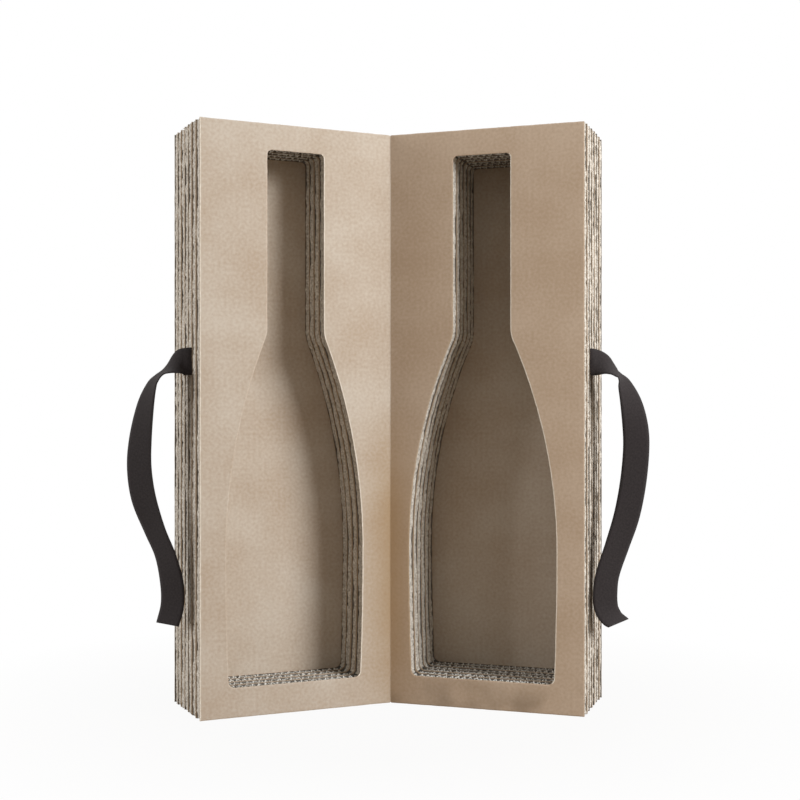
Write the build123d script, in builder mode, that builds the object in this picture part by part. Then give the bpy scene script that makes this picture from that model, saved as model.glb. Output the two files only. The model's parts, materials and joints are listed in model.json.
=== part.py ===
"""Magnum bottle box: two blocks of glued corrugated sheets that open like a book around a bottle."""

import os
from math import cos, radians, sin

from build123d import *

os.makedirs("parts", exist_ok=True)

# The box, upright and open towards the viewer
box_height = 430.0
half_width = 148.0
board_thickness = 9.8
boards_per_half = 7
opening_angle = 137.0
fold_clearance = 0.3

# How many sheets of each half, from the front, have the bottle window
left_window_boards = 4
right_window_boards = 6

# The bottle window, measured up from the foot of the box, with its shift towards the outer edge
window_bottom = 21.5
top_margin = 19.0
left_body_width = 106.0
right_body_width = 113.0
left_window_shift = 1.5
right_window_shift = -3.0
neck_width = 44.0
shoulder_start = 118.0
shoulder_top = 277.0
body_taper = 2.0
body_corner_radius = 5.0
neck_corner_radius = 3.5
neck_bend_radius = 22.0

# The tie ribbons, glued between the second and third sheets of each half
ribbon_width = 20.0
ribbon_thickness = 0.8
ribbon_height = 256.0
ribbon_board = 2
ribbon_tail = 28.0
ribbon_seat_clearance = 0.1
ribbon_reach = 39.0
ribbon_drop = 189.0

# Where a ribbon runs and which way its width points, from the slit to its free end:
# outward as a share of the reach, down as a share of the drop, and the width's own
# direction as shares of outward, backward and upward
ribbon_station_shares = (
    (0.00, 0.000, 0.0, 0.0, 1.0),
    (0.30, 0.000, 0.1, 0.4, 0.9),
    (0.58, 0.030, 0.4, 0.7, 0.6),
    (0.79, 0.110, 0.7, 0.7, 0.2),
    (0.95, 0.250, 0.9, 0.4, 0.0),
    (1.00, 0.400, 1.0, 0.1, 0.0),
    (0.92, 0.540, 1.0, 0.0, 0.0),
    (0.66, 0.670, 1.0, -0.1, 0.0),
    (0.46, 0.800, 1.0, -0.1, 0.0),
    (0.40, 0.910, 1.0, 0.0, 0.0),
    (0.50, 1.000, 1.0, 0.1, 0.0),
)

board_width = half_width - fold_clearance
board_middle = fold_clearance + board_width / 2
half_depth = boards_per_half * board_thickness
window_top = box_height - top_margin
lean = radians(opening_angle / 2)
ribbon_depth = fold_clearance + ribbon_board * board_thickness + ribbon_seat_clearance

# The fold line stands where the whole V is centred front to back
front_reach = half_width * cos(lean) - fold_clearance * sin(lean)
back_reach = (half_depth + fold_clearance) * sin(lean) - fold_clearance * cos(lean)
fold_line = Vector(0, (front_reach - back_reach) / 2, 0)

# Each half's side of the fold, where minus one is left, then its window sheets and their window
halves = {
    "left": (-1, left_window_boards, left_body_width, left_window_shift),
    "right": (1, right_window_boards, right_body_width, right_window_shift),
}


def outward(side):
    """The direction along a half's face, from the fold to its outer edge."""
    return Vector(side * sin(lean), -cos(lean), 0)


def backward(side):
    """The direction through a half's sheets, from its face to its back."""
    return Vector(side * cos(lean), sin(lean), 0)


def sheet_plane(side, depth):
    """The plane of a sheet's front, with its origin in the middle of the sheet's foot."""
    foot = fold_line + outward(side) * board_middle + backward(side) * depth
    return Plane(origin=foot, x_dir=outward(side) * -side, z_dir=backward(side))


def sheet_name(half, position):
    """The name of a sheet, counted from the front of its half."""
    if position == 0:
        return f"{half}_face_sheet"
    if position == boards_per_half - 1:
        return f"{half}_back_sheet"
    return f"{half}_sheet_{position + 1}"


def bottle_outline(body_width):
    """The outline of a bottle window, centred on the bottle's own axis."""
    body_half = body_width / 2
    neck_half = neck_width / 2
    foot_half = body_half - body_taper
    with BuildSketch() as outline:
        with BuildLine():
            body_side = TangentArc((body_half, shoulder_start), (foot_half, window_bottom), tangent=(0, -1))
            shoulder = TangentArc(body_side @ 0, (neck_half, shoulder_top), tangent=(0, 1))
            Line(shoulder @ 1, (neck_half, window_top))
            mirror(about=Plane.YZ)
            Line((-foot_half, window_bottom), (foot_half, window_bottom))
            Line((-neck_half, window_top), (neck_half, window_top))
        make_face()
        # Rounded from the top down, so that the corners below keep their place in the count
        for level, radius in ((-1, neck_corner_radius), (2, neck_bend_radius), (0, body_corner_radius)):
            fillet(outline.vertices().group_by(Axis.Y)[level], radius=radius)
    return outline.sketch


# Corrugated sheets of both halves
for half, (side, window_boards, body_width, window_shift) in halves.items():
    window = bottle_outline(body_width)
    for position in range(boards_per_half):
        name = sheet_name(half, position)
        front = sheet_plane(side, fold_clearance + position * board_thickness)
        with BuildPart() as sheet:
            with BuildSketch(front):
                Rectangle(board_width, box_height, align=(Align.CENTER, Align.MIN))
                if position < window_boards:
                    with Locations((-side * window_shift, 0)):
                        add(window, mode=Mode.SUBTRACT)
            extrude(amount=board_thickness)
            if position == ribbon_board:
                seat_length = ribbon_tail + ribbon_seat_clearance
                seat_middle = -side * (board_width - seat_length) / 2
                with BuildSketch(front):
                    with Locations((seat_middle, ribbon_height)):
                        Rectangle(seat_length, ribbon_width + 2 * ribbon_seat_clearance)
                extrude(amount=ribbon_thickness + 2 * ribbon_seat_clearance, mode=Mode.SUBTRACT)
        sheet.part.label = name
        export_step(sheet.part, f"parts/{name}.step")


def ribbon_stations(side):
    """The planes across a hanging ribbon, from its slit to its free end."""
    middle_depth = ribbon_depth + ribbon_thickness / 2
    slit = fold_line + outward(side) * half_width + backward(side) * middle_depth
    slit = slit + Vector(0, 0, ribbon_height)
    places = []
    widths = []
    for out, down, across_out, across_back, across_up in ribbon_station_shares:
        places.append(slit + Vector(side * out * ribbon_reach, 0, -down * ribbon_drop))
        widths.append(Vector(side * across_out, across_back, across_up))
    last = len(places) - 1
    planes = [Plane(origin=slit, x_dir=widths[0], z_dir=outward(side))]
    for station in range(1, last + 1):
        along = places[min(station + 1, last)] - places[station - 1]
        planes.append(Plane(origin=places[station], x_dir=widths[station], z_dir=along))
    return planes


# Tie ribbons: a flat tail in its seat and a twisted strip that hangs outside
for half, (side, *_) in halves.items():
    name = f"{half}_ribbon"
    with BuildPart() as ribbon:
        with BuildSketch(sheet_plane(side, ribbon_depth)):
            with Locations((-side * (board_width - ribbon_tail) / 2, ribbon_height)):
                Rectangle(ribbon_tail, ribbon_width)
        extrude(amount=ribbon_thickness)
        for station in ribbon_stations(side):
            with BuildSketch(station):
                Rectangle(ribbon_width, ribbon_thickness)
        loft()
    ribbon.part.label = name
    export_step(ribbon.part, f"parts/{name}.step")
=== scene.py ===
# %% [markdown]
# # A magnum bottle box of corrugated board
# The box is two blocks of glued corrugated sheets that open like a book. The solids already give every sheet
# its outline and place. This lesson dresses them: each solid board becomes two kraft liners with fluted paper
# between them, and each plain strip becomes a woven tie ribbon.

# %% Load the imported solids
import json
import math
import random

import bmesh
import bpy
from mathutils import Matrix, Vector
from mathutils.geometry import delaunay_2d_cdt


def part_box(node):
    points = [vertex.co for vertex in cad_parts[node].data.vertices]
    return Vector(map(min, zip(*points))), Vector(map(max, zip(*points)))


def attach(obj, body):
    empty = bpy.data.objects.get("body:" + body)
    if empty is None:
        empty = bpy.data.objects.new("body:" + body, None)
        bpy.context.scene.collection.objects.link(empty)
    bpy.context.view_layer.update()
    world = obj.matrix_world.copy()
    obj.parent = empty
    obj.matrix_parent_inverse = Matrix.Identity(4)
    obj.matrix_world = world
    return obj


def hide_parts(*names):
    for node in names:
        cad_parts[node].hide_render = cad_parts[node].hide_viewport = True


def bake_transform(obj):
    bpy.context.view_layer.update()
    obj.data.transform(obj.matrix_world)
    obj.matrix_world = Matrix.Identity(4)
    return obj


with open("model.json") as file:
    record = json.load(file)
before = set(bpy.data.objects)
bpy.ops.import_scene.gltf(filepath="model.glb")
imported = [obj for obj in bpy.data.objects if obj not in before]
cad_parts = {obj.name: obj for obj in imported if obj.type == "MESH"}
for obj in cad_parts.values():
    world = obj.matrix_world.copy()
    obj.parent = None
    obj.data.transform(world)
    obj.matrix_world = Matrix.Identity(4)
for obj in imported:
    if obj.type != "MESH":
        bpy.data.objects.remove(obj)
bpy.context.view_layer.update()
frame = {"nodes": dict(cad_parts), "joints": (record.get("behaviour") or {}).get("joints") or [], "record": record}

MM = 0.001

# %% [markdown]
# ## The axes of each half
# A half leans away from the fold, so its sheets are slanted in the shared frame. They are far easier to draw
# flat. Each half therefore gets axes of its own: outward along its face, backward through its sheets, and up.
# The fold's place and the angle that the box stands open at come from the joint in the frame.

# %% Axes of each half
fold = frame["joints"][0]
hinge = Vector((fold["pos_m"][0], fold["pos_m"][1], 0))
lean = math.radians(-fold["range_deg"][0]) / 2
SIDES = {"left": -1, "right": 1}


def half_axes(side):
    """The matrix from a half's own axes, outward, backward and up, to the shared frame."""
    outward = (side * math.sin(lean), -math.cos(lean), 0)
    backward = (side * math.cos(lean), math.sin(lean), 0)
    turn = Matrix((outward, backward, (0, 0, 1))).transposed().to_4x4()
    return Matrix.Translation(hinge) @ turn


print("each half leans", round(math.degrees(lean), 1), "degrees from the middle")

# %% [markdown]
# ## The outlines of the sheets
# The dressed sheet has to keep the solid's outline, window included. It could be drawn again from sizes, but
# then a change to the solid would leave it behind. So the outline is read from the flat sides of the solid
# itself: an edge with just one of its two faces in that flat side lies on its rim.

# %% Read the outlines of a sheet
SAME_PLACE = 0.001 * MM


def pairs(loop):
    """Each point of a closed line with the point after it."""
    return zip(loop, loop[1:] + loop[:1])


def signed_area(loop):
    """The area inside a closed line, positive where the line runs anticlockwise."""
    return sum(a.x * b.y - b.x * a.y for a, b in pairs(loop)) / 2


def rim_loops(board, depth):
    """The closed lines around a board's flat side, the outer one first, as outward and up."""
    flat = {f for f in board.faces if all(abs(v.co.y - depth) < SAME_PLACE for v in f.verts)}
    beside = {}
    for edge in board.edges:
        if sum(f in flat for f in edge.link_faces) == 1:
            a, b = edge.verts
            beside.setdefault(a, []).append(b)
            beside.setdefault(b, []).append(a)
    loops = []
    while beside:
        here, before, loop = next(iter(beside)), None, []
        while here in beside:
            loop.append(Vector((here.co.x, here.co.z)))
            onward = [v for v in beside.pop(here) if v != before]
            before, here = here, onward[0]
        loops.append(loop)
    loops.sort(key=lambda loop: -abs(signed_area(loop)))
    for position, loop in enumerate(loops):
        if (signed_area(loop) > 0) != (position == 0):
            loop.reverse()
    return loops


def read_sheet(node, side):
    """The depths of a sheet's two flat sides, and the lines around each."""
    board = bmesh.new()
    board.from_mesh(frame["nodes"][node].data)
    bmesh.ops.remove_doubles(board, verts=board.verts, dist=SAME_PLACE)
    board.transform(half_axes(side).inverted())
    depths = [v.co.y for v in board.verts]
    front, back = min(depths), max(depths)
    outlines = rim_loops(board, front), rim_loops(board, back)
    board.free()
    return front, back, *outlines


halves = {}
for half, side in SIDES.items():
    members = frame["record"]["behaviour"]["bodies"][f"{half}_half"]
    halves[half] = {node: read_sheet(node, side) for node in members if "sheet" in node}
    windows = sum(len(sheet[3]) > 1 for sheet in halves[half].values())
    print(half, "half:", len(halves[half]), "sheets,", windows, "with a window")

# %% [markdown]
# ## Working on outlines
# Five small tools serve every sheet. One adds points along a line, one moves a line into the board, one tells
# whether a point lies in the board, one lays an even grid of points there, and one fills it with triangles.
# The filling is a constrained Delaunay triangulation, which keeps the cut edges exactly where they are.

# %% Tools for outlines
FILL_TOLERANCE = SAME_PLACE * MM
FILL_BETWEEN_OUTLINES = 1


def resample(loop, step_across, step_up):
    """The same line with its points at most so far apart, across and up."""
    points = []
    for a, b in pairs(loop):
        count = max(1, math.ceil(abs(b.x - a.x) / step_across), math.ceil(abs(b.y - a.y) / step_up))
        points += [a.lerp(b, k / count) for k in range(count)]
    return points


def inset(loop, amounts):
    """Each point of a line moved into the board by its own amount, with mitred corners."""
    moved = []
    for before, here, after, amount in zip(loop[-1:] + loop[:-1], loop, loop[1:] + loop[:1], amounts):
        along = (here - before).normalized() + (after - here).normalized()
        inward = Vector((-along.y, along.x))
        moved.append(here + inward * (2 * amount / inward.length_squared))
    return moved


def inside(loops, point):
    """True where a point lies in the board: a line from it crosses the outlines an odd number of times."""
    crossed = False
    for loop in loops:
        for a, b in pairs(loop):
            if (a.y > point.y) != (b.y > point.y):
                crossed ^= point.x < a.x + (point.y - a.y) * (b.x - a.x) / (b.y - a.y)
    return crossed


def lattice(loops, step_across, step_up, margin):
    """The points of an even grid that lie in the board, clear of its cut edges."""
    points = []
    for row in range(1, math.ceil(max(p.y for p in loops[0]) / step_up)):
        height = row * step_up
        crossings = sorted(
            a.x + (height - a.y) * (b.x - a.x) / (b.y - a.y)
            for loop in loops
            for a, b in pairs(loop)
            if (a.y > height) != (b.y > height)
        )
        for start, end in zip(crossings[::2], crossings[1::2]):
            column = math.ceil((start + margin) / step_across)
            while column * step_across < end - margin:
                points.append(Vector((column * step_across, height)))
                column += 1
    return points


def fill(loops, grid=(), stretch=1.0):
    """The points of the outlines and the grid, and triangles that fill the board between the outlines."""
    rim = [p for loop in loops for p in loop]
    edges = []
    for loop in loops:
        first = len(edges)
        edges += [(first + k, first + (k + 1) % len(loop)) for k in range(len(loop))]
    points = rim + list(grid)
    flat = [Vector((p.x, p.y * stretch)) for p in points]
    _, _, faces, origins, _, _ = delaunay_2d_cdt(flat, edges, [], FILL_BETWEEN_OUTLINES, FILL_TOLERANCE)
    triangles = []
    for face in faces:
        corners = [origins[k][0] for k in face]
        middle = sum((points[k] for k in corners), Vector((0, 0))) / len(corners)
        if max(corners) >= len(rim) or inside(loops, middle):
            triangles.append(corners)
    return points, triangles


for half in SIDES:
    window = halves[half][f"{half}_face_sheet"][2][1]
    print(half, "window:", round(abs(signed_area(window)) / MM ** 2), "square mm")

# %% [markdown]
# ## Building materials from nodes
# Every finish below is a small node tree. One function adds a node, with its settings and with the value or
# the link that each of its sockets takes, and one turns a colour that is written as sRGB into linear light.

# %% Helpers for node trees


def add(tree, kind, sockets=None, **settings):
    """A new node with these settings. Each socket takes a value, or a link from another node's socket."""
    node = tree.nodes.new(kind)
    for name, value in settings.items():
        setattr(node, name, value)
    for name, value in (sockets or {}).items():
        if isinstance(value, bpy.types.NodeSocket):
            tree.links.new(value, node.inputs[name])
        else:
            node.inputs[name].default_value = value
    return node


def linear(hex_colour):
    """A colour written as sRGB hex, as the linear red, green, blue and alpha that shaders take."""
    parts = [int(hex_colour[k:k + 2], 16) / 255 for k in (1, 3, 5)]
    # The curve's numbers are those of the sRGB standard
    return [p / 12.92 if p <= 0.04045 else ((p + 0.055) / 1.055) ** 2.4 for p in parts] + [1]


def new_material(name, hex_colour):
    """A material with its tree emptied, and its colour in solid view set."""
    material = bpy.data.materials.new(name)
    material.use_nodes = True
    material.node_tree.nodes.clear()
    material.diffuse_color = linear(hex_colour)
    return material, material.node_tree


print("the grey #808080 is", round(linear("#808080")[0], 3), "in linear light")

# %% [markdown]
# ## Kraft liner
# The flat faces are kraft linerboard: unbleached paper pressed between rollers, so it is matt, finely mottled
# with fibres, and a little stripy where the fluting behind it was glued on. A flat colour would look like
# plastic. Three noises at real sizes give it its cloudiness, its mottling and its specks, and a sine along
# the sheet gives the glue lines. The pattern is drawn in the sheet's own UV map, which is laid out in metres.
# The right face is a copy a little warmer than the left, as painted warm bounce light, and it has handling
# marks along its foot. Both faces are darker and browner low down beside the fold, as painted warm shade.

# %% Kraft liner
FLUTE_PITCH = 4.8 * MM
UV_NAME = "sheet"
PAPER_IOR, PAPER_RELIEF = 1.5, 0.2 * MM
MOTTLE_SIZE, CLOUD_SIZE, SPECK_SIZE = 2.2 * MM, 50 * MM, 1.1 * MM
GLUE_LINE_SHARE = 0.015
TONE_LOW, TONE_HIGH = 0.72, 1.28
SPECK_LOW, SPECK_HIGH, SPECK_SHARE = 0.66, 0.78, 0.35
FOLD_SHADE_REACH, FOLD_SHADE_SHARE, FOLD_SHADE_FOOT_SHARE = 28 * MM, 0.7, 0.4
FOLD_SHADE_TOP, FOLD_SHADE_FULL, FOLD_SHADE_LOW = 230 * MM, 150 * MM, 70 * MM
FOOT_SMUDGE = "#7F6B55"
SMUDGE_TOP, SMUDGE_FULL = 24 * MM, 6 * MM
BLOT_SIZE, BLOT_LOW, BLOT_HIGH, BLOT_SHARE = 26 * MM, 0.42, 0.7, 0.5


def painted_fold_shade(tree, height):
    """How much painted warm shade the paper takes: most beside the fold, low down."""
    place = add(tree, "ShaderNodeTexCoord").outputs["Object"]
    from_fold = add(tree, "ShaderNodeVectorMath", {0: place, 1: hinge}, operation="SUBTRACT").outputs[0]
    level = add(tree, "ShaderNodeVectorMath", {0: from_fold, 1: (1, 1, 0)}, operation="MULTIPLY").outputs[0]
    away = add(tree, "ShaderNodeVectorMath", {0: level}, operation="LENGTH").outputs["Value"]
    near = add(tree, "ShaderNodeMapRange", {0: away, 1: FOLD_SHADE_REACH, 2: 0.0, 4: FOLD_SHADE_SHARE}).outputs[0]
    below = add(tree, "ShaderNodeMapRange", {0: height, 1: FOLD_SHADE_TOP, 2: FOLD_SHADE_FULL}).outputs[0]
    above = add(tree, "ShaderNodeMapRange", {0: height, 1: 0.0, 2: FOLD_SHADE_LOW, 3: FOLD_SHADE_FOOT_SHARE}).outputs[0]
    low_down = add(tree, "ShaderNodeMath", {0: below, 1: above}, operation="MULTIPLY").outputs[0]
    return add(tree, "ShaderNodeMath", {0: near, 1: low_down}, operation="MULTIPLY").outputs[0]


def smudge_at_foot(tree, where, height):
    """How smudged the paper is: in blots along its foot."""
    low = add(tree, "ShaderNodeMapRange", {0: height, 1: SMUDGE_TOP, 2: SMUDGE_FULL}).outputs[0]
    blot = add(tree, "ShaderNodeTexNoise", {
        "Vector": where, "Scale": 1 / BLOT_SIZE, "Detail": 1.0}).outputs[0]
    mark = add(tree, "ShaderNodeMapRange", {0: blot, 1: BLOT_LOW, 2: BLOT_HIGH, 4: BLOT_SHARE}).outputs[0]
    return add(tree, "ShaderNodeMath", {0: low, 1: mark}, operation="MULTIPLY").outputs[0]


def kraft_liner(name, pale, deep, fleck, fold_shade_tint, smudged=False):
    """Kraft linerboard in these tones, clean or with handling marks along its foot."""
    material, tree = new_material(name, pale)
    where = add(tree, "ShaderNodeUVMap", uv_map=UV_NAME).outputs["UV"]
    apart = add(tree, "ShaderNodeSeparateXYZ", {0: where}).outputs
    mottle, cloud, speck = (
        add(tree, "ShaderNodeTexNoise", {"Vector": where, "Scale": 1 / size, "Detail": detail}).outputs[0]
        for size, detail in ((MOTTLE_SIZE, 4.0), (CLOUD_SIZE, 2.0), (SPECK_SIZE, 1.0)))
    turns = add(tree, "ShaderNodeMath", {0: apart["X"], 1: math.tau / FLUTE_PITCH}, operation="MULTIPLY")
    lines = add(tree, "ShaderNodeMath", {0: turns.outputs[0]}, operation="SINE").outputs[0]
    glue = add(tree, "ShaderNodeMath", {0: lines, 1: GLUE_LINE_SHARE, 2: -GLUE_LINE_SHARE / 2},
               operation="MULTIPLY_ADD").outputs[0]
    tone = add(tree, "ShaderNodeMath", {0: mottle, 1: cloud}, operation="ADD").outputs[0]
    tone = add(tree, "ShaderNodeMath", {0: tone, 1: glue}, operation="ADD").outputs[0]
    tone = add(tree, "ShaderNodeMapRange", {0: tone, 1: TONE_LOW, 2: TONE_HIGH}).outputs[0]
    colour = add(tree, "ShaderNodeMix", {0: tone, 6: linear(deep), 7: linear(pale)},
                 data_type="RGBA").outputs[2]
    specks = add(tree, "ShaderNodeMapRange", {
        0: speck, 1: SPECK_LOW, 2: SPECK_HIGH, 4: SPECK_SHARE}).outputs[0]
    # The second tint is painted warm shade beside the fold, low down
    tints = [(specks, fleck), (painted_fold_shade(tree, apart["Y"]), fold_shade_tint)]
    if smudged:
        tints.append((smudge_at_foot(tree, where, apart["Y"]), FOOT_SMUDGE))
    for share, tint in tints:
        colour = add(tree, "ShaderNodeMix", {0: share, 6: colour, 7: linear(tint)},
                     data_type="RGBA").outputs[2]
    bump = add(tree, "ShaderNodeBump", {"Height": mottle, "Strength": 0.25, "Distance": PAPER_RELIEF})
    shader = add(tree, "ShaderNodeBsdfPrincipled", {
        "Base Color": colour, "Roughness": 0.88, "IOR": PAPER_IOR, "Specular IOR Level": 0.3,
        "Normal": bump.outputs[0]})
    add(tree, "ShaderNodeOutputMaterial", {"Surface": shader.outputs[0]})
    return material


# The last colour of each is painted warm shade low down beside the fold
liner_paper = kraft_liner("kraft_linerboard", "#CFC4B6", "#BCAA97", "#8D7A67", "#A58458")
# The right face's copy is warmer as painted warm bounce light, and has smudges along its foot
bounce_warm_liner_paper = kraft_liner(
    "kraft_linerboard_bounce_warm_smudged", "#CFBBA6", "#BEA78F", "#8F765F", "#BC9A70", smudged=True)
print("made", liner_paper.name, "and", bounce_warm_liner_paper.name)

# %% [markdown]
# ## Cut kraft and fluting paper
# A die knife cuts the sheets. Its pressure leaves the liner's rim as a thin brown line. The face's edge is
# bevelled into a narrow lip, which is pale on the upright edges that face left, as a painted highlight. The
# fluting between is recycled paper, greyer than kraft, and so is the inside of a liner, darkened further as
# painted shade for the gaps where it shows. Where the knife ran along the flutes it crushed them and tore them
# fluffy, which shows as pale fibre with dark nicks. These are matt papers too, and their mottling runs on
# Object coordinates, because a cut edge has no use for a UV map.

# %% Cut kraft and fluting paper
GRAIN_LOW, GRAIN_HIGH = 0.32, 0.68


def cut_paper(name, dark, pale, grain):
    """A cut or torn paper: two tones, mottled at the grain's size."""
    material, tree = new_material(name, pale)
    where = add(tree, "ShaderNodeTexCoord").outputs["Object"]
    fibre = add(tree, "ShaderNodeTexNoise", {"Vector": where, "Scale": 1 / grain, "Detail": 3.0}).outputs[0]
    tone = add(tree, "ShaderNodeMapRange", {0: fibre, 1: GRAIN_LOW, 2: GRAIN_HIGH}).outputs[0]
    colour = add(tree, "ShaderNodeMix", {0: tone, 6: linear(dark), 7: linear(pale)},
                 data_type="RGBA").outputs[2]
    bump = add(tree, "ShaderNodeBump", {"Height": fibre, "Strength": 0.4, "Distance": PAPER_RELIEF})
    shader = add(tree, "ShaderNodeBsdfPrincipled", {
        "Base Color": colour, "Roughness": 0.95, "IOR": PAPER_IOR, "Specular IOR Level": 0.2,
        "Normal": bump.outputs[0]})
    add(tree, "ShaderNodeOutputMaterial", {"Surface": shader.outputs[0]})
    return material


rim_paper = cut_paper("kraft_knife_cut_rim", "#8A7257", "#B39C80", 1.5 * MM)
# The pale lip is a painted highlight
lip_highlight_paper = cut_paper("kraft_lip_painted_highlight", "#E4DACA", "#FAF3E7", 3 * MM)
fluting_paper = cut_paper("recycled_fluting_paper", "#B9B6B0", "#F1F0EC", 2.5 * MM)
# The liner's inside is recycled grey, darkened further as painted shade for the gaps where it shows
inside_paper_and_shade = cut_paper("recycled_liner_inside_and_painted_shade", "#67625C", "#8B8680", 6 * MM)
torn_paper = cut_paper("recycled_fluting_torn", "#A0988D", "#E6E1D8", 1.4 * MM)
print("made", rim_paper.name, lip_highlight_paper.name, fluting_paper.name, inside_paper_and_shade.name, torn_paper.name)

# %% [markdown]
# ## The fluting as Geometry Nodes
# Fluting is flat paper that ran between two toothed rollers, so its shape is a rule: a wave across the sheet
# that runs straight up. That makes it a job for Geometry Nodes. The tree takes a flat blank, lifts it into
# the wave, lets the wave wander and crush a little, as it does near a die cut, and gives it the paper's
# thickness.

# %% The fluting tree
FLUTING_INPUTS = ("Pitch", "Height", "Paper", "Phase", "Wander", "Crush", "Seed")
WANDER_LENGTH, CRUSH_LENGTH = 45 * MM, 9 * MM


def fluting_tree():
    """The tree that turns a flat blank into fluted paper."""
    tree = bpy.data.node_groups.new("fluting", "GeometryNodeTree")
    tree.interface.new_socket("Blank", in_out="INPUT", socket_type="NodeSocketGeometry")
    for name in FLUTING_INPUTS:
        tree.interface.new_socket(name, in_out="INPUT", socket_type="NodeSocketFloat")
    tree.interface.new_socket("Fluting", in_out="OUTPUT", socket_type="NodeSocketGeometry")
    given = add(tree, "NodeGroupInput").outputs
    place = add(tree, "GeometryNodeInputPosition").outputs[0]
    across = add(tree, "ShaderNodeSeparateXYZ", {0: place}).outputs["X"]
    wander, crush = (
        add(tree, "ShaderNodeTexNoise",
            {"Vector": place, "W": given["Seed"], "Scale": 1 / length, "Detail": 2.0},
            noise_dimensions="4D").outputs[0]
        for length in (WANDER_LENGTH, CRUSH_LENGTH))
    drift = add(tree, "ShaderNodeMath", {0: wander, 1: 0.5}, operation="SUBTRACT").outputs[0]
    turns = add(tree, "ShaderNodeMath", {0: across, 1: given["Pitch"]}, operation="DIVIDE").outputs[0]
    turns = add(tree, "ShaderNodeMath", {0: turns, 1: given["Phase"]}, operation="ADD").outputs[0]
    turns = add(tree, "ShaderNodeMath", {0: drift, 1: given["Wander"], 2: turns},
                operation="MULTIPLY_ADD").outputs[0]
    angle = add(tree, "ShaderNodeMath", {0: turns, 1: math.tau}, operation="MULTIPLY").outputs[0]
    wave = add(tree, "ShaderNodeMath", {0: angle}, operation="SINE").outputs[0]
    lost = add(tree, "ShaderNodeMath", {0: crush, 1: given["Crush"]}, operation="MULTIPLY").outputs[0]
    kept = add(tree, "ShaderNodeMath", {0: 1.0, 1: lost}, operation="SUBTRACT").outputs[0]
    half_height = add(tree, "ShaderNodeMath", {0: given["Height"], 1: 0.5}, operation="MULTIPLY").outputs[0]
    reach = add(tree, "ShaderNodeMath", {0: half_height, 1: kept}, operation="MULTIPLY").outputs[0]
    lift = add(tree, "ShaderNodeMath", {0: reach, 1: wave}, operation="MULTIPLY").outputs[0]
    offset = add(tree, "ShaderNodeCombineXYZ", {"Y": lift}).outputs[0]
    waved = add(tree, "GeometryNodeSetPosition", {"Geometry": given["Blank"], "Offset": offset}).outputs[0]
    thick = add(tree, "GeometryNodeExtrudeMesh", {
        "Mesh": waved, "Offset Scale": given["Paper"], "Individual": False}).outputs[0]
    under = add(tree, "GeometryNodeFlipFaces", {"Mesh": waved}).outputs[0]
    both = add(tree, "GeometryNodeJoinGeometry", {"Geometry": thick})
    tree.links.new(under, both.inputs[0])
    closed = add(tree, "GeometryNodeMergeByDistance", {"Geometry": both.outputs[0], "Distance": SAME_PLACE})
    real = add(tree, "GeometryNodeRealizeInstances", {"Geometry": closed.outputs[0]})
    done = add(tree, "GeometryNodeSetMaterial", {"Geometry": real.outputs[0], "Material": fluting_paper})
    add(tree, "NodeGroupOutput", {"Fluting": done.outputs[0]})
    return tree


fluting = fluting_tree()
print("fluting tree with", len(fluting.nodes), "nodes")

# %% [markdown]
# ## The liners of a sheet
# A sheet is two liners with the fluting between them. The liners are thin closed plates with slightly ragged
# rims. A plate is a wall through rings of outlines, each at its own depth, and two flat ends. That also gives
# the face its lip: a first ring that is drawn in a little, and whose wall gets the lip's paper.

# %% Make the liners
LINER, LINER_RAGGED = 0.8 * MM, 0.1 * MM
LIP_WIDTH, LIP_DEPTH = 0.8 * MM, 0.2 * MM
SKIN, RIM, LIP, FLUTES, INSIDE, TORN = range(6)


def ragged(loops, amount, chance):
    """The same outlines with each point moved a little way in or out."""
    return [inset(loop, [chance.uniform(-amount, amount) for _ in loop]) for loop in loops]


def add_plate(board, rings, wall_materials, cap_materials):
    """A closed plate whose wall goes through rings of outlines, each at its own depth."""
    rows = [[[board.verts.new((p.x, depth, p.y)) for p in loop] for loop in loops] for loops, depth in rings]
    for above, below, material in zip(rows, rows[1:], wall_materials):
        for loop_a, loop_b in zip(above, below):
            for (a, b), (c, d) in zip(pairs(loop_a), pairs(loop_b)):
                board.faces.new((a, b, d, c)).material_index = material
    for (loops, _), row, material in zip((rings[0], rings[-1]), (rows[0], rows[-1]), cap_materials):
        corners = [v for loop in row for v in loop]
        for triangle in fill(loops)[1]:
            board.faces.new([corners[k] for k in triangle]).material_index = material


def add_face_liner(board, loops, front, side):
    """The front liner of a face sheet, with its lip."""
    # At the fold nothing was cut, so there is no lip there
    lip = [inset(loop, [LIP_WIDTH if p.x > LIP_WIDTH else 0 for p in loop]) for loop in loops]
    rings = [(lip, front), (loops, front + LIP_DEPTH), (loops, front + LINER)]
    add_plate(board, rings, (LIP, RIM), (SKIN, INSIDE))
    # The lip's pale paper is a painted highlight, kept only on the upright edges that face left
    for face in board.faces:
        run = face.verts[1].co - face.verts[0].co
        at_fold = face.calc_center_median().x < LIP_WIDTH
        if face.material_index == LIP and (-side * run.z <= abs(run.x) or at_fold):
            face.material_index = SKIN


print("liners", round(LINER / MM, 1), "mm thick, lip", round(LIP_WIDTH / MM, 1), "mm wide")

# %% [markdown]
# ## Torn edges
# A cut along the flutes shows no clean wave, because the knife crushed the flute that it met. Such a cut is
# closed with a crumpled strip, whose folds each wander in and out as they run up. A random walk gives the
# slow wander, and a random number that is cubed, so that large ones are rare, gives the nicks.

# %% Make the torn edges
TORN_STEP, TORN_FOLDS = 2 * MM, 5
TORN_DEPTH, TORN_DRIFT = 1.0 * MM, 0.35 * MM
TORN_NICK, NICK_RARITY = 0.7 * MM, 3


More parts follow.
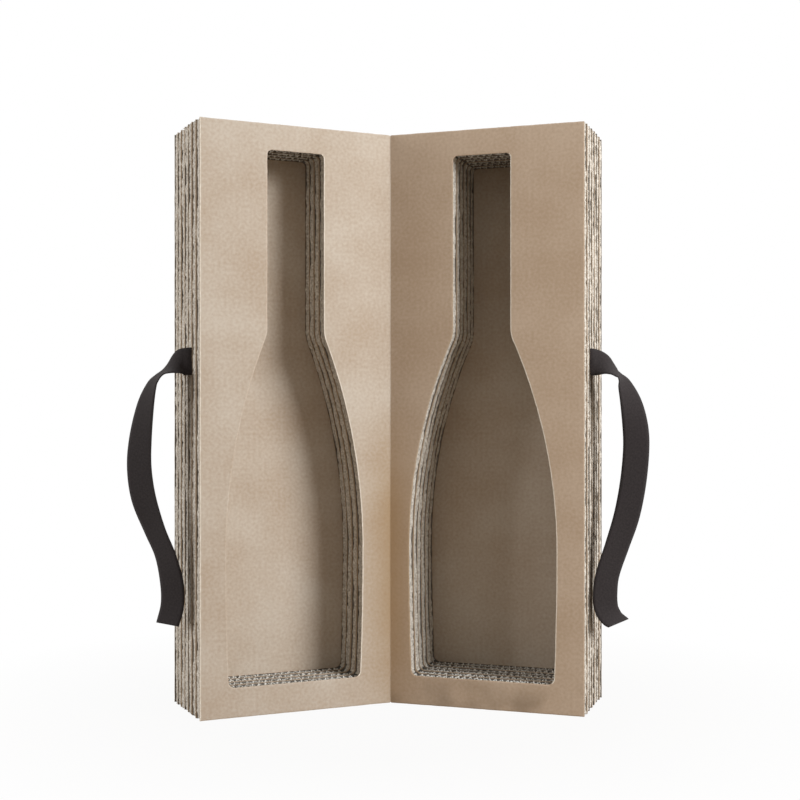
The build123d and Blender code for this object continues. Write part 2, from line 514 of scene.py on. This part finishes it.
def wandering(count, chance):
    """How far in a torn fold lies at each point of its run: a slow drift with small nicks."""
    depth, depths = chance.uniform(0, TORN_DEPTH), []
    for _ in range(count):
        depth = min(max(depth + chance.uniform(-TORN_DRIFT, TORN_DRIFT), 0), TORN_DEPTH)
        depths.append(depth + chance.random() ** NICK_RARITY * TORN_NICK)
    return depths


def add_torn_edges(board, loops, near, far, chance):
    """Crumpled strips between the two liners, wherever the cut runs along the flutes."""
    for loop in loops:
        fine = resample(loop, TORN_STEP, TORN_STEP)
        along_flutes = [abs(b.y - a.y) > abs(b.x - a.x) for a, b in pairs(fine)]
        folds = []
        for k in range(TORN_FOLDS + 1):
            depth = near + (far - near) * k / TORN_FOLDS
            line = inset(fine, wandering(len(fine), chance))
            folds.append([board.verts.new((p.x, depth, p.y)) for p in line])
        for nearer, farther in zip(folds, folds[1:]):
            for (a, b), (c, d), torn in zip(pairs(nearer), pairs(farther), along_flutes):
                if torn:
                    board.faces.new((a, b, d, c)).material_index = TORN
    bmesh.ops.delete(board, geom=[v for v in board.verts if not v.link_faces], context="VERTS")


print("torn edges of", TORN_FOLDS, "folds, up to", round((TORN_DEPTH + TORN_NICK) / MM, 1), "mm deep")

# %% [markdown]
# ## The fluting of a sheet
# The blank for the fluting has points an eighth of a flute apart, so that the wave is round where it is cut
# across, at the floor and ceiling of the hollow. Along the flutes the blank ends a little behind the torn
# strips. The tree's inputs are set by the identifiers of its sockets, and what it makes is kept as a plain
# mesh.

# %% Make the fluting of a sheet
FLUTING_THICKNESS = 0.9 * MM
FLUTING_RAGGED, FLUTING_HOLD = 0.6 * MM, 2 * MM
FLUTE_STEPS, BLANK_STEP_UP, RIM_STEP_UP = 8, 6 * MM, 3 * MM
WANDER, CRUSH, SEEDS = 1.3, 0.5, 100
flute_column = FLUTE_PITCH / FLUTE_STEPS


def held_back(loop):
    """An outline drawn in where it runs along the flutes, so that they end behind the torn strips."""
    runs = [(b - a).normalized() for a, b in pairs(loop)]
    return inset(loop, [FLUTING_HOLD * abs(runs[k - 1].y + runs[k].y) / 2 for k in range(len(loop))])


def flat_blank(name, loops, depth, chance):
    """The flat paper that one sheet's fluting is made from."""
    spine = min(p.x for p in loops[0]) + FLUTING_THICKNESS
    outer = max(p.x for p in loops[0]) - FLUTING_THICKNESS
    loops = [held_back(resample(loop, flute_column, RIM_STEP_UP)) for loop in loops]
    grid = lattice(loops, flute_column, BLANK_STEP_UP, flute_column / 2 + FLUTING_RAGGED)
    points, triangles = fill(ragged(loops, FLUTING_RAGGED, chance), grid, flute_column / BLANK_STEP_UP)
    blank = bpy.data.meshes.new(name)
    # Loose fibres stop short of the fold and of the outer edge, and at the floor
    blank.from_pydata([(min(max(p.x, spine), outer), depth, max(p.y, 0)) for p in points], [], triangles)
    return blank


def fluted_mesh(name, loops, depth, height, chance):
    """The fluting of one sheet as a plain mesh, made by the tree from a flat blank."""
    piece = bpy.data.objects.new(name, flat_blank(name, loops, depth, chance))
    bpy.context.scene.collection.objects.link(piece)
    modifier = piece.modifiers.new("fluting", "NODES")
    modifier.node_group = fluting
    given = dict(zip(FLUTING_INPUTS, (
        FLUTE_PITCH, height, FLUTING_THICKNESS, chance.random(), WANDER, CRUSH, chance.uniform(0, SEEDS))))
    for socket in fluting.interface.items_tree:
        if socket.name in given:
            modifier[socket.identifier] = given[socket.name]
    made = bpy.data.meshes.new_from_object(piece.evaluated_get(bpy.context.evaluated_depsgraph_get()))
    bpy.data.objects.remove(piece)
    return made


print("flutes", round(FLUTE_PITCH / MM, 1), "mm apart, points", round(flute_column / MM, 1), "mm apart")

# %% [markdown]
# ## The corrugated sheets
# Now each solid gets its dressed sheet. Behind the face each sheet was glued on a fraction out of line, as in
# any stack made by hand. In a sheet with no window only a band of fluting along the cut edges can ever be
# seen, so only that band is made. Each sheet has a random series of its own, so a change to one leaves the
# others alone.

# %% Make the corrugated sheets
OUT_OF_LINE = 0.8 * MM
RIM_STEP = 4 * MM
BAND = 14 * MM
PATTERN_SHIFT = (1, 2)


def moved_loops(loops, shift):
    """Outlines moved in the plane of the sheet."""
    return [[p + shift for p in loop] for loop in loops]


def piece_from(board, name, materials):
    """A finished piece at the origin, with its faces turned outwards and its materials on it."""
    bmesh.ops.recalc_face_normals(board, faces=board.faces)
    mesh = bpy.data.meshes.new(name)
    board.to_mesh(mesh)
    board.free()
    for material in materials:
        mesh.materials.append(material)
    piece = bpy.data.objects.new(name, mesh)
    bpy.context.scene.collection.objects.link(piece)
    return piece


def add_fluting(board, node, loops, front, back, chance):
    """The fluting between the liners, as a band along the cut edges where the sheet has no window."""
    if len(loops) == 1:
        inner = inset(loops[0], [BAND] * len(loops[0]))
        loops = [loops[0], inner[::-1]]
    others = len(board.faces)
    height = back - front - 2 * LINER - FLUTING_THICKNESS
    flutes = fluted_mesh(f"{node}_flutes", loops, (front + back) / 2, height, chance)
    board.from_mesh(flutes)
    bpy.data.meshes.remove(flutes)
    board.faces.ensure_lookup_table()
    for face in board.faces[others:]:
        face.material_index = FLUTES


def corrugated_sheet(node, half, chance):
    """One dressed sheet: two liners and the fluting between them, standing for its solid."""
    front, back, front_loops, back_loops = halves[half][node]
    is_face = "face" in node
    shift = Vector((0, 0))
    if not is_face:
        shift = Vector((chance.uniform(0, OUT_OF_LINE), chance.uniform(0, OUT_OF_LINE)))
    front_loops, back_loops = moved_loops(front_loops, shift), moved_loops(back_loops, shift)
    near, far = (
        [resample(loop, RIM_STEP, RIM_STEP) for loop in loops] for loops in (front_loops, back_loops))
    near, far = ragged(near, LINER_RAGGED, chance), ragged(far, LINER_RAGGED, chance)
    board = bmesh.new()
    if is_face:
        add_face_liner(board, near, front, SIDES[half])
    else:
        add_plate(board, [(near, front), (near, front + LINER)], (RIM,), (SKIN, INSIDE))
    add_plate(board, [(far, back - LINER), (far, back)], (RIM,), (INSIDE, SKIN))
    add_torn_edges(board, back_loops, front + LINER, back - LINER, chance)
    add_fluting(board, node, back_loops, front, back, chance)
    sheet_map = board.loops.layers.uv.new(UV_NAME)
    pattern_shift = Vector((chance.uniform(*PATTERN_SHIFT), 0))
    for face in board.faces:
        for corner in face.loops:
            corner[sheet_map].uv = Vector((corner.vert.co.x, corner.vert.co.z)) + pattern_shift
    board.transform(half_axes(SIDES[half]))
    # The right face takes the copy with painted warm bounce light
    skin = bounce_warm_liner_paper if is_face and half == "right" else liner_paper
    papers = (skin, rim_paper, lip_highlight_paper, fluting_paper, inside_paper_and_shade, torn_paper)
    piece = piece_from(board, f"{node}_board", papers)
    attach(piece, f"{half}_half")
    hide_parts(node)
    return piece


sheets = {}
for half in SIDES:
    for position, node in enumerate(halves[half]):
        sheets[node] = corrugated_sheet(node, half, random.Random(f"{half} {position}"))
    faces = sum(len(sheets[node].data.polygons) for node in halves[half])
    print(half, "half:", len(halves[half]), "corrugated sheets,", faces, "faces")

# %% [markdown]
# ## The fold at the spine
# On the real box the two faces are one liner, scored and folded. The solids are split there, because the fold
# is the hinge, and they stand a hair apart. A narrow strip of the same paper, set just under the surface,
# closes that gap. It is not attached to either half.

# %% Make the fold
FOLD_REACH = 6 * MM
FOLD_SINK, FOLD_PAPER = 0.04 * MM, 0.3 * MM
FOLD_SHARES = (1.0, 0.6, 0.3, 0.15)
FOLD_ROWS = 43
FOLD_END_GAP = 0.4 * MM


def skin_rings(board, rings, smooth=False):
    """A closed skin through rings of points, with flat ends."""
    for ring, after in zip(rings, rings[1:]):
        for (a, b), (c, d) in zip(pairs(ring), pairs(after)):
            board.faces.new((a, b, d, c)).smooth = smooth
    for end in (rings[0], rings[-1]):
        board.faces.new(end)


def fold_section(front, gap):
    """The strip's cross-section at the floor: across its front, and back behind it."""
    reaches = [gap + share * FOLD_REACH for share in FOLD_SHARES] + [gap]
    across = []
    for sunk in (FOLD_SINK, FOLD_SINK + FOLD_PAPER):
        left, right = ([half_axes(side) @ Vector((reach, front + sunk, 0)) for reach in reaches]
                       for side in SIDES.values())
        across.append(left + right[::-1])
    return across[0] + across[1][::-1]


def spine_fold():
    """The strip of liner that joins the two faces at the fold."""
    front, _, loops, _ = halves["left"]["left_face_sheet"]
    height = max(p.y for p in loops[0])
    gap = min(p.x for p in loops[0])
    section = fold_section(front, gap)
    board = bmesh.new()
    rings = []
    for row in range(FOLD_ROWS + 1):
        rise = Vector((0, 0, FOLD_END_GAP + (height - 2 * FOLD_END_GAP) * row / FOLD_ROWS))
        rings.append([board.verts.new(p + rise) for p in section])
    skin_rings(board, rings)
    sheet_map = board.loops.layers.uv.new(UV_NAME)
    for face in board.faces:
        for corner in face.loops:
            corner[sheet_map].uv = (corner.vert.co.x, corner.vert.co.z)
    piece = piece_from(board, "spine_fold_liner", (liner_paper,))
    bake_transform(piece)
    return piece


fold_strip = spine_fold()
print("fold strip with", len(fold_strip.data.polygons), "faces")

# %% [markdown]
# ## Twill ribbon
# The ties are black cotton twill tape. Twill is a weave whose threads step sideways from row to row, so it
# shows fine diagonal ribs, and it is matt with a faint sheen from loose fibres. The ribs are drawn in the
# ribbon's own UV map, in metres along and across it, a little coarser than real so that they can be seen.

# %% Twill ribbon material
RIBBON_UV = "weave"
TWILL, TWILL_DEEP, TWILL_PALE = "#2E2A2B", "#252122", "#373233"
TWILL_PITCH, FUZZ_SIZE, TWILL_RELIEF = 1.1 * MM, 1.5 * MM, 0.15 * MM
RIB_SHARE, WEAVE_LOW, WEAVE_HIGH = 0.25, 0.2, 0.8


def twill_tape():
    """Black cotton twill tape."""
    material, tree = new_material("black_cotton_twill", TWILL)
    where = add(tree, "ShaderNodeUVMap", uv_map=RIBBON_UV).outputs["UV"]
    apart = add(tree, "ShaderNodeSeparateXYZ", {0: where}).outputs
    slant = add(tree, "ShaderNodeMath", {0: apart["X"], 1: apart["Y"]}, operation="ADD").outputs[0]
    turns = add(tree, "ShaderNodeMath", {0: slant, 1: math.tau / TWILL_PITCH}, operation="MULTIPLY")
    ribs = add(tree, "ShaderNodeMath", {0: turns.outputs[0]}, operation="SINE").outputs[0]
    fuzz = add(tree, "ShaderNodeTexNoise", {
        "Vector": where, "Scale": 1 / FUZZ_SIZE, "Detail": 3.0}).outputs[0]
    weave = add(tree, "ShaderNodeMath", {0: ribs, 1: RIB_SHARE, 2: fuzz}, operation="MULTIPLY_ADD").outputs[0]
    tone = add(tree, "ShaderNodeMapRange", {0: weave, 1: WEAVE_LOW, 2: WEAVE_HIGH}).outputs[0]
    colour = add(tree, "ShaderNodeMix", {0: tone, 6: linear(TWILL_DEEP), 7: linear(TWILL_PALE)},
                 data_type="RGBA").outputs[2]
    bump = add(tree, "ShaderNodeBump", {"Height": weave, "Strength": 0.5, "Distance": TWILL_RELIEF})
    shader = add(tree, "ShaderNodeBsdfPrincipled", {
        "Base Color": colour, "Roughness": 0.9, "IOR": 1.5, "Specular IOR Level": 0.2,
        "Sheen Weight": 0.08, "Sheen Roughness": 0.5, "Normal": bump.outputs[0]})
    add(tree, "ShaderNodeOutputMaterial", {"Surface": shader.outputs[0]})
    return material


twill = twill_tape()
print("made", twill.name)

# %% [markdown]
# ## The line of a tie ribbon
# A ribbon leaves its slit on edge, with its width upright, drops, and turns flat to the viewer as it hangs. A
# simulation would let it fall into a shape of its own, so it is drawn from stations instead: at each one, how
# far out and down the ribbon has got, and which way its width points. A smooth curve goes through them. The
# two ribbons hang each in their own way.

# %% The line of a tie ribbon
RIBBON_WIDTH, RIBBON_THICKNESS = 20 * MM, 0.8 * MM
RIBBON_TAIL, RIBBON_REACH, RIBBON_DROP = 28 * MM, 39 * MM, 189 * MM
TAIL_SHARES = (1.0, 0.5)
RIBBON_SEAT_CLEARANCE = 0.1 * MM
RIBBON_SHEET = 3
STEPS_BETWEEN = 8
# Out as a share of the reach, down as a share of the drop, and the width's direction: out, back and up
RIBBON_STATION_SHARES = {
    "left": (
        (0.00, 0.000, 0.00, 0.00, 1.00),
        (0.17, 0.003, 0.00, 0.15, 0.99),
        (0.27, 0.009, 0.05, 0.54, 0.84),
        (0.42, 0.026, 0.22, 0.90, 0.38),
        (0.54, 0.042, 0.16, 0.97, 0.19),
        (0.66, 0.065, 0.28, 0.95, 0.17),
        (0.76, 0.097, 0.46, 0.92, 0.20),
        (0.87, 0.175, 0.74, 0.77, 0.15),
        (0.96, 0.300, 0.93, 0.53, 0.00),
        (0.98, 0.410, 0.98, 0.40, 0.00),
        (0.90, 0.525, 0.98, 0.38, 0.00),
        (0.70, 0.645, 0.90, 0.58, 0.00),
        (0.50, 0.745, 0.88, 0.61, 0.00),
        (0.38, 0.850, 0.94, 0.48, 0.00),
        (0.37, 0.935, 0.93, 0.50, 0.00),
        (0.46, 1.010, 0.91, 0.55, 0.00),
    ),
    "right": (
        (0.00, 0.000, 0.00, 0.00, 1.00),
        (0.16, 0.002, 0.11, 0.34, 0.94),
        (0.30, 0.010, 0.18, 0.63, 0.78),
        (0.42, 0.025, 0.23, 0.86, 0.51),
        (0.51, 0.041, 0.33, 0.96, 0.25),
        (0.58, 0.055, 0.42, 0.98, 0.07),
        (0.67, 0.088, 0.72, 0.80, 0.05),
        (0.80, 0.165, 0.95, 0.45, 0.00),
        (0.88, 0.260, 1.00, 0.15, 0.00),
        (0.89, 0.350, 1.00, 0.10, 0.00),
        (0.83, 0.475, 1.00, 0.10, 0.00),
        (0.71, 0.600, 1.00, 0.15, 0.00),
        (0.53, 0.715, 1.00, 0.30, 0.00),
        (0.35, 0.825, 1.00, 0.35, 0.00),
        (0.30, 0.900, 1.00, 0.30, 0.00),
        (0.32, 0.955, 1.00, 0.35, 0.00),
        (0.42, 0.995, 0.95, 0.50, 0.00),
        (0.56, 1.018, 0.92, 0.60, 0.00),
    ),
}


def smooth_run(stations):
    """Points on a smooth curve through stations, by the Catmull-Rom rule."""
    padded = [stations[0] * 2 - stations[1], *stations, stations[-1] * 2 - stations[-2]]
    run = []
    for a, b, c, d in zip(padded, padded[1:], padded[2:], padded[3:]):
        for k in range(STEPS_BETWEEN):
            t = k / STEPS_BETWEEN
            run.append((b * 2 + (c - a) * t + (a * 2 - b * 5 + c * 4 - d) * t ** 2
                        + (b * 3 - a - c * 3 + d) * t ** 3) / 2)
    return run + [stations[-1]]


def ribbon_run(half, side):
    """The ribbon's middle line and the direction of its width, from the end of its tail to its free end."""
    front, _, _, loops = halves[half][f"{half}_sheet_{RIBBON_SHEET}"]
    edge = max(p.x for p in loops[0])
    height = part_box(f"{half}_ribbon")[1].z - RIBBON_WIDTH / 2
    depth = front + RIBBON_SEAT_CLEARANCE + RIBBON_THICKNESS / 2
    axes = half_axes(side)
    slit = axes @ Vector((edge, depth, height))
    places = [axes @ Vector((edge - RIBBON_TAIL * share, depth, height)) for share in TAIL_SHARES]
    widths = [Vector((0, 0, 1))] * len(places)
    for out, down, width_out, width_back, width_up in RIBBON_STATION_SHARES[half]:
        places.append(slit + Vector((side * out * RIBBON_REACH, 0, -down * RIBBON_DROP)))
        widths.append(Vector((side * width_out, width_back, width_up)))
    return smooth_run(places), smooth_run(widths)


ribbon_runs = {half: ribbon_run(half, side) for half, side in SIDES.items()}
print("points along the ribbons", [len(places) for places, _ in ribbon_runs.values()])

# %% [markdown]
# ## The tie ribbons
# The tape follows its line with one ring of points at each place. The width is squared to the run
# everywhere, so the tape turns without stretching, and the free ends were snipped a little aslant. The same
# rings give the weave its UV map, in metres across and along the tape.

# %% Make the tie ribbons
RIBBON_ACROSS = 8
# How much a free end was cut aslant, as a share of the width, and over how many rows it comes in
END_SLANT_SHARES = {"left": 0.15, "right": 0.6}
END_ROWS = 12


def tie_ribbon(half):
    """One hanging tie ribbon, standing for its solid, and its length."""
    places, widths = ribbon_runs[half]
    last = len(places) - 1
    shares = [j / RIBBON_ACROSS - 0.5 for j in range(RIBBON_ACROSS + 1)]
    board = bmesh.new()
    weave, rings, length = {}, [], 0.0
    for k, place in enumerate(places):
        along = (places[min(k + 1, last)] - places[max(k - 1, 0)]).normalized()
        width = (widths[k] - along * widths[k].dot(along)).normalized()
        normal = along.cross(width)
        length += (place - places[max(k - 1, 0)]).length
        slant = END_SLANT_SHARES[half] * max(0, 1 - (last - k) / END_ROWS)
        run = width + along * slant
        ring = []
        for face in (0.5, -0.5):
            for share in shares if face > 0 else shares[::-1]:
                spot = place + run * (share * RIBBON_WIDTH) + normal * (face * RIBBON_THICKNESS)
                vert = board.verts.new(spot)
                weave[vert] = (share * RIBBON_WIDTH, length + share * RIBBON_WIDTH * slant)
                ring.append(vert)
        rings.append(ring)
    skin_rings(board, rings, smooth=True)
    weave_map = board.loops.layers.uv.new(RIBBON_UV)
    for face in board.faces:
        for corner in face.loops:
            corner[weave_map].uv = weave[corner.vert]
    piece = piece_from(board, f"{half}_tie_ribbon", (twill,))
    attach(piece, f"{half}_half")
    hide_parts(f"{half}_ribbon")
    return piece, length


for half in SIDES:
    ribbon, length = tie_ribbon(half)
    print(half, "ribbon:", round(length / MM, 1), "mm long,", len(ribbon.data.polygons), "faces")

# %% [markdown]
# ## Floor and background
# The box stands in a white studio, and its surroundings fill the shadows. The background is white only to the
# camera and in reflections, so that it adds no light of its own. The floor, which is a warm matt tone to the
# light, shows the box's shadow faintly close by and fades to white.

# %% Floor and background
WHITE = "#FFFFFF"
FILL_STRENGTH, FILL_TINT = 0.31, "#FFF7EC"
FLOOR_SIZE, FLOOR_TONE = 8.0, "#918272"
FLOOR_GLOW_SHARE, SHADOW_REACH, SHADOW_FADE = 0.95, 0.16, 0.24


def camera_or_mirror(tree):
    """A share of one for rays from the camera, in reflections and through glass, and zero for light."""
    path = add(tree, "ShaderNodeLightPath").outputs
    most = add(tree, "ShaderNodeMath", {
        0: path["Is Camera Ray"], 1: path["Is Glossy Ray"]}, operation="MAXIMUM").outputs[0]
    return add(tree, "ShaderNodeMath", {
        0: most, 1: path["Is Transmission Ray"]}, operation="MAXIMUM").outputs[0]


world = bpy.data.worlds.new("white_studio")
bpy.context.scene.world = world
world.use_nodes = True
sky = world.node_tree
sky.nodes.clear()
fill_light = add(sky, "ShaderNodeBackground", {"Color": linear(FILL_TINT), "Strength": FILL_STRENGTH})
backdrop = add(sky, "ShaderNodeBackground", {"Color": linear(WHITE), "Strength": 1.0})
mixed = add(sky, "ShaderNodeMixShader", {
    0: camera_or_mirror(sky), 1: fill_light.outputs[0], 2: backdrop.outputs[0]})
add(sky, "ShaderNodeOutputWorld", {"Surface": mixed.outputs[0]})

floor_material, floor_tree = new_material("white_studio_floor", FLOOR_TONE)
matt = add(floor_tree, "ShaderNodeBsdfDiffuse", {"Color": linear(FLOOR_TONE)})
glow = add(floor_tree, "ShaderNodeEmission", {"Color": linear(WHITE), "Strength": 1.0})
place = add(floor_tree, "ShaderNodeTexCoord").outputs["Object"]
distance = add(floor_tree, "ShaderNodeVectorMath", {0: place}, operation="LENGTH").outputs["Value"]
whiteness = add(floor_tree, "ShaderNodeMapRange", {
    0: distance, 1: SHADOW_REACH, 2: SHADOW_REACH + SHADOW_FADE, 3: FLOOR_GLOW_SHARE, 4: 1.0}).outputs[0]
glow_share = add(floor_tree, "ShaderNodeMath", {
    0: camera_or_mirror(floor_tree), 1: whiteness}, operation="MULTIPLY")
surface = add(floor_tree, "ShaderNodeMixShader", {
    0: glow_share.outputs[0], 1: matt.outputs[0], 2: glow.outputs[0]})
add(floor_tree, "ShaderNodeOutputMaterial", {"Surface": surface.outputs[0]})
floor_mesh = bpy.data.meshes.new("studio_floor")
reach = FLOOR_SIZE / 2
floor_mesh.from_pydata(
    [(-reach, -reach, 0), (reach, -reach, 0), (reach, reach, 0), (-reach, reach, 0)], [], [(0, 1, 2, 3)])
floor_mesh.materials.append(floor_material)
floor = bpy.data.objects.new("studio_floor", floor_mesh)
bpy.context.scene.collection.objects.link(floor)
print("floor", FLOOR_SIZE, "m wide, white from", round(SHADOW_REACH + SHADOW_FADE, 2), "m out")

# %% [markdown]
# ## Light
# A large soft lamp in front, to the right and above lights the left face and the right outer side, and leaves
# the hollow of the right half in shade. A weaker one far round to the left lights the left outer side and
# lifts the right face.

# %% Light
TARGET = Vector((0, 0, 0.22))
LAMP_DISTANCE, LAMP_SIZE = 1.8, 0.9


def soft_lamp(name, bearing, elevation, power):
    """A round soft lamp that points at the box, with its bearing counted from the front to the right."""
    data = bpy.data.lights.new(name, "AREA")
    data.shape = "DISK"
    data.size = LAMP_SIZE
    data.energy = power
    lamp = bpy.data.objects.new(name, data)
    bearing, elevation = math.radians(bearing), math.radians(elevation)
    level = math.cos(elevation)
    towards = Vector((math.sin(bearing) * level, -math.cos(bearing) * level, math.sin(elevation)))
    lamp.location = TARGET + towards * LAMP_DISTANCE
    lamp.rotation_euler = towards.to_track_quat("Z", "Y").to_euler()
    bpy.context.scene.collection.objects.link(lamp)
    print(name, "lamp at", [round(x, 2) for x in lamp.location])


soft_lamp("key", bearing=58, elevation=24, power=34)
soft_lamp("side", bearing=-80, elevation=8, power=17)

# %% [markdown]
# ## Camera
# The camera stands level with the middle of the box, a step away and slightly left of centre. Its lens and
# place were worked out from the box's front corners in an 800 pixel frame, and a small upward shift keeps the
# upright edges upright while the box sits where it does in the frame.

# %% Camera
SENSOR = 36.0
FRAME_PIXELS = 800
FOCAL_PIXELS = 1300
HORIZON_BELOW_MIDDLE = 17.9
CAMERA_PLACE = (-40.7 * MM, -989.4 * MM, 215.8 * MM)
CAMERA_TILT, CAMERA_TURN = 90, -2.791
camera_data = bpy.data.cameras.new("camera")
camera_data.sensor_width = SENSOR
camera_data.lens = SENSOR * FOCAL_PIXELS / FRAME_PIXELS
camera_data.shift_y = HORIZON_BELOW_MIDDLE / FRAME_PIXELS
camera = bpy.data.objects.new("camera", camera_data)
camera.location = CAMERA_PLACE
camera.rotation_euler = (math.radians(CAMERA_TILT), 0, math.radians(CAMERA_TURN))
bpy.context.scene.collection.objects.link(camera)
bpy.context.scene.camera = camera
bpy.context.scene.view_settings.view_transform = "Standard"
print("lens", round(camera_data.lens, 1), "mm")
